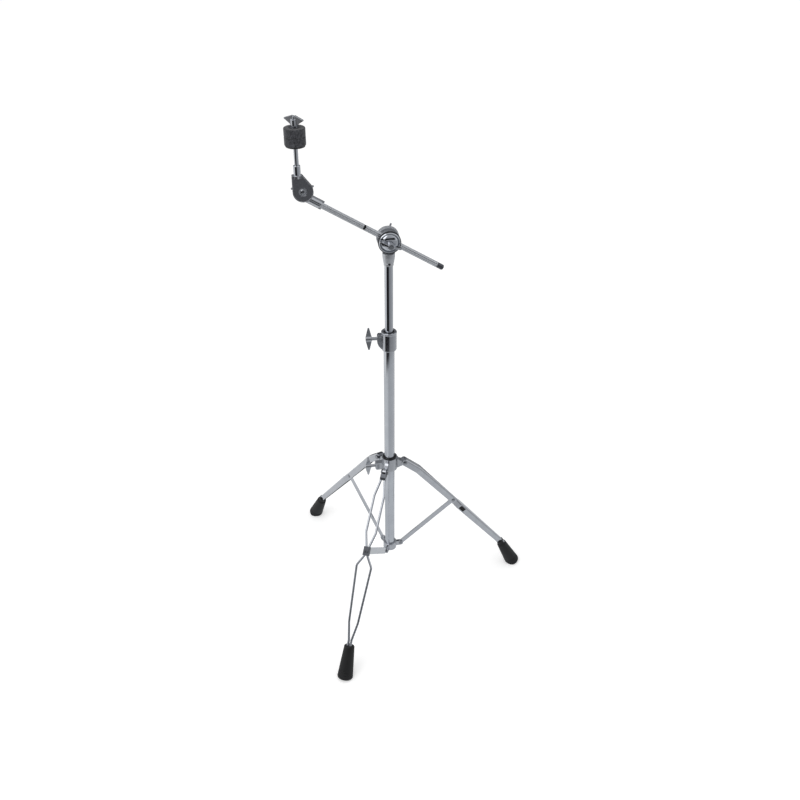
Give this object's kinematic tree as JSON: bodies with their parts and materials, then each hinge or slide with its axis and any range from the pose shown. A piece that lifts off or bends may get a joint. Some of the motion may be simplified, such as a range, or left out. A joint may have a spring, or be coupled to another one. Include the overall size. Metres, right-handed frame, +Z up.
{
  "type": "cymbal boom stand",
  "caption": "Folding tripod boom stand that holds a crash cymbal between two felts on a tilting post.",
  "frame": {"origin": "centre of the whole box in plan, on the floor that the three feet stand on", "axes": "+Z up along the column, +X to the right and -Y towards the viewer as the picture shows the stand"},
  "size_m": [0.6118, 0.6484, 1.2889],
  "materials": {
    "chrome_plate": "polished chrome plate on steel tube and castings",
    "cast_chrome": "chrome plate over cast zinc, slightly soft edges",
    "plated_fastener": "bright zinc plate on turned steel",
    "black_rubber": "matt moulded black rubber",
    "black_nylon": "smooth moulded black nylon",
    "grey_felt": "pressed wool felt, dark grey",
    "dark_satin_cast": "dark satin plating on a casting, bright at the rim",
    "black_oxide": "black oxide on steel",
    "black_pad": "plain matt black pad"
  },
  "bodies": {
    "column": {"lower_tube": "chrome_plate", "tube_end_plug": "black_rubber", "spider": "chrome_plate", "spider_rivets": "plated_fastener", "height_collar": "chrome_plate", "height_clamp_nut": "plated_fastener"},
    "leg_hub": {"leg_hub": "chrome_plate", "hub_bush": "black_nylon", "hub_clamp_nut": "plated_fastener"},
    "hub_wing_bolt": {"hub_wing_bolt": "cast_chrome"},
    "height_wing_bolt": {"height_wing_bolt": "cast_chrome"},
    "right_leg": {"right_leg": "chrome_plate", "right_foot": "black_rubber", "right_leg_bolt": "plated_fastener", "right_rivet": "plated_fastener", "leg_pad": "black_pad"},
    "left_leg": {"left_leg": "chrome_plate", "left_foot": "black_rubber", "left_leg_bolt": "plated_fastener", "left_rivet": "plated_fastener"},
    "front_leg": {"front_leg_rod_left": "chrome_plate", "front_leg_rod_right": "chrome_plate", "front_leg_eye": "chrome_plate", "front_leg_clamp": "chrome_plate", "front_foot": "black_rubber", "front_leg_bolt": "plated_fastener", "front_rivet": "plated_fastener"},
    "right_brace": {"right_brace": "chrome_plate"},
    "left_brace": {"left_brace": "chrome_plate"},
    "front_brace": {"front_brace": "chrome_plate"},
    "height_bush": {"height_bush": "black_nylon"},
    "mast": {"upper_tube": "chrome_plate", "tilter_base": "chrome_plate", "tilter_set_screw": "black_oxide"},
    "boom_holder": {"boom_holder": "chrome_plate", "tilter_dish": "chrome_plate", "tilter_gasket": "black_rubber", "tilter_bolt": "plated_fastener", "rear_bolt": "plated_fastener"},
    "tilter_wing_nut": {"tilter_wing_nut": "cast_chrome"},
    "rear_wing_nut": {"rear_wing_nut": "cast_chrome"},
    "boom_grip": {"boom_grip_sleeve": "black_nylon"},
    "boom": {"boom_rod": "chrome_plate", "boom_end_cap": "black_rubber", "cymbal_tilter_arm": "chrome_plate"},
    "cymbal_head": {"cymbal_tilter_head": "dark_satin_cast", "cymbal_pivot_bolt": "plated_fastener", "cymbal_post": "chrome_plate", "post_sleeve": "chrome_plate", "seat_washer": "plated_fastener", "felt_sleeve": "black_nylon", "felt_lower": "grey_felt"},
    "cymbal_wing_nut": {"cymbal_wing_nut": "cast_chrome"},
    "upper_felt": {"felt_upper": "grey_felt", "top_washer": "plated_fastener"},
    "top_wing_nut": {"top_wing_nut": "cast_chrome"}
  },
  "joints": [
    {"name": "tripod_fold", "type": "slide", "parent": "column", "child": "leg_hub", "axis": [0, 0, 1], "range_m": [0, 0.1128]},
    {"name": "hub_wing_turn", "type": "hinge", "parent": "leg_hub", "child": "hub_wing_bolt", "pos_m": [-0.06155, 0.03107, 0.404], "axis": [-0.9848, -0.1736, 0], "continuous": true},
    {"name": "height_wing_turn", "type": "hinge", "parent": "column", "child": "height_wing_bolt", "pos_m": [-0.06155, 0.03107, 0.772], "axis": [-0.9962, -0.0872, 0], "continuous": true},
    {"name": "right_leg_fold", "type": "hinge", "parent": "leg_hub", "child": "right_leg", "pos_m": [-0.02319, 0.03811, 0.407], "axis": [-0.1805, 0.9836, 0], "range_deg": [0, 38.7]},
    {"name": "right_brace_fold", "type": "hinge", "parent": "right_leg", "child": "right_brace", "pos_m": [0.10762, 0.06211, 0.258], "axis": [0.1805, -0.9836, 0], "range_deg": [0, 80.29]},
    {"name": "left_leg_fold", "type": "hinge", "parent": "leg_hub", "child": "left_leg", "pos_m": [-0.08631, 0.0612, 0.407], "axis": [-0.7727, -0.6347, 0], "range_deg": [0, 38.7]},
    {"name": "left_brace_fold", "type": "hinge", "parent": "left_leg", "child": "left_brace", "pos_m": [-0.17072, 0.16398, 0.258], "axis": [0.7727, 0.6347, 0], "range_deg": [0, 80.29]},
    {"name": "front_leg_fold", "type": "hinge", "parent": "leg_hub", "child": "front_leg", "pos_m": [-0.07386, -0.00594, 0.407], "axis": [0.9489, -0.3156, 0], "range_deg": [0, 38.7]},
    {"name": "front_brace_fold", "type": "hinge", "parent": "front_leg", "child": "front_brace", "pos_m": [-0.11584, -0.13214, 0.258], "axis": [-0.9489, 0.3156, 0], "range_deg": [0, 80.29]},
    {"name": "mast_swivel", "type": "hinge", "parent": "column", "child": "height_bush", "pos_m": [-0.06155, 0.03107, 0.775], "axis": [0, 0, 1], "continuous": true},
    {"name": "mast_height", "type": "slide", "parent": "height_bush", "child": "mast", "axis": [0, 0, 1], "range_m": [-0.14, 0.145]},
    {"name": "boom_tilt", "type": "hinge", "parent": "mast", "child": "boom_holder", "pos_m": [-0.06155, 0.03107, 1.015], "axis": [-0.1392, 0.9903, 0], "range_deg": [-80, 20]},
    {"name": "tilter_wing_turn", "type": "hinge", "parent": "boom_holder", "child": "tilter_wing_nut", "pos_m": [-0.06155, 0.03107, 1.015], "axis": [0.1392, -0.9903, 0], "continuous": true},
    {"name": "rear_wing_turn", "type": "hinge", "parent": "boom_holder", "child": "rear_wing_nut", "pos_m": [-0.06155, 0.03107, 1.015], "axis": [-0.1392, 0.9903, 0], "continuous": true},
    {"name": "boom_roll", "type": "hinge", "parent": "boom_holder", "child": "boom_grip", "pos_m": [-0.06155, 0.03107, 1.015], "axis": [0.8461, 0.1189, -0.5195], "continuous": true},
    {"name": "boom_slide", "type": "slide", "parent": "boom_grip", "child": "boom", "axis": [0.8461, 0.1189, -0.5195], "range_m": [-0.1, 0.12]},
    {"name": "cymbal_tilt", "type": "hinge", "parent": "boom", "child": "cymbal_head", "pos_m": [-0.23674, 0.00645, 1.13461], "axis": [-0.1392, 0.9903, 0], "range_deg": [-60, 60]},
    {"name": "cymbal_wing_turn", "type": "hinge", "parent": "cymbal_head", "child": "cymbal_wing_nut", "pos_m": [-0.23674, 0.00645, 1.13461], "axis": [-0.1392, 0.9903, 0], "continuous": true},
    {"name": "felt_lift", "type": "slide", "parent": "cymbal_head", "child": "upper_felt", "axis": [0, 0, 1], "range_m": [0, 0.014]},
    {"name": "top_wing_turn", "type": "hinge", "parent": "upper_felt", "child": "top_wing_nut", "pos_m": [-0.24517, -0.00181, 1.228], "axis": [0, 0, 1], "continuous": true}
  ],
  "couplings": [
    {"joint": "right_leg_fold", "follows": "tripod_fold", "rad_per_m": 5.957},
    {"joint": "right_brace_fold", "follows": "tripod_fold", "rad_per_m": 12.392},
    {"joint": "left_leg_fold", "follows": "tripod_fold", "rad_per_m": 5.957},
    {"joint": "left_brace_fold", "follows": "tripod_fold", "rad_per_m": 12.392},
    {"joint": "front_leg_fold", "follows": "tripod_fold", "rad_per_m": 5.957},
    {"joint": "front_brace_fold", "follows": "tripod_fold", "rad_per_m": 12.392}
  ]
}
